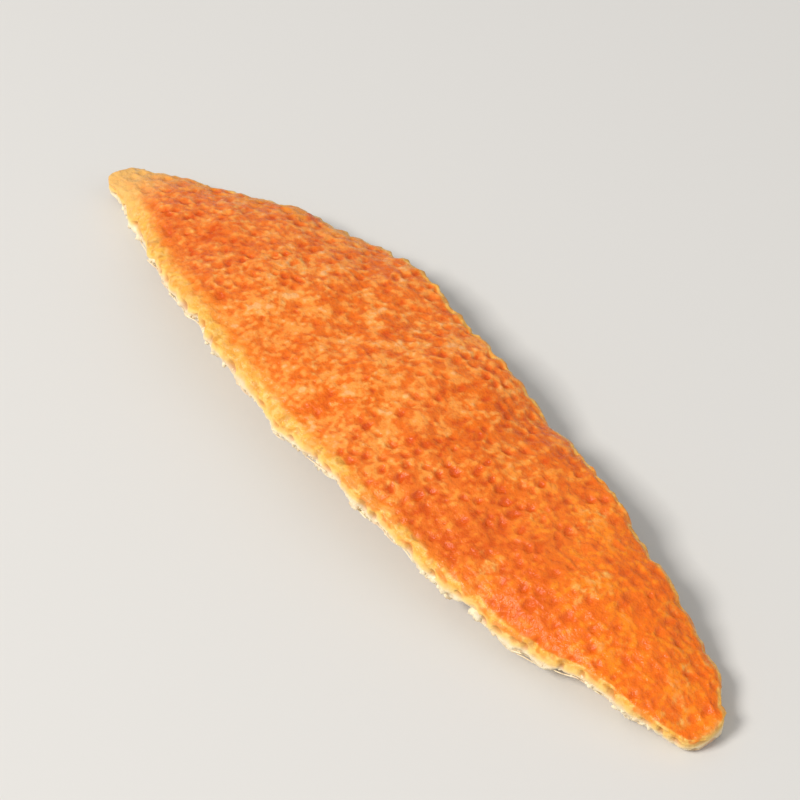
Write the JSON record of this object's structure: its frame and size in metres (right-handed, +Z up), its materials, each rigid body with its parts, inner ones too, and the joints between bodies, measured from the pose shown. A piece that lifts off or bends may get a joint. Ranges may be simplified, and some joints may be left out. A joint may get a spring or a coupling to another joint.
{
  "type": "dried orange peel strip",
  "caption": "Slim lozenge of dried orange peel, orange pitted rind up, gently arched, with pale crumbly pith on its cut sides and underside.",
  "frame": {"origin": "on the ground, under the middle of the strip's box, with the strip resting on the pith at its two ends", "axes": "+X along the strip from the oblique cut end to the slim tip, +Y towards the side with the shoulder, +Z up out of the rind"},
  "size_m": [0.0444, 0.012, 0.0037],
  "materials": {
    "peel": "dry pitted orange rind with a dull satin sheen, over cream crumbly pith"
  },
  "bodies": {
    "root": {"peel_strip": "peel"}
  },
  "joints": []
}
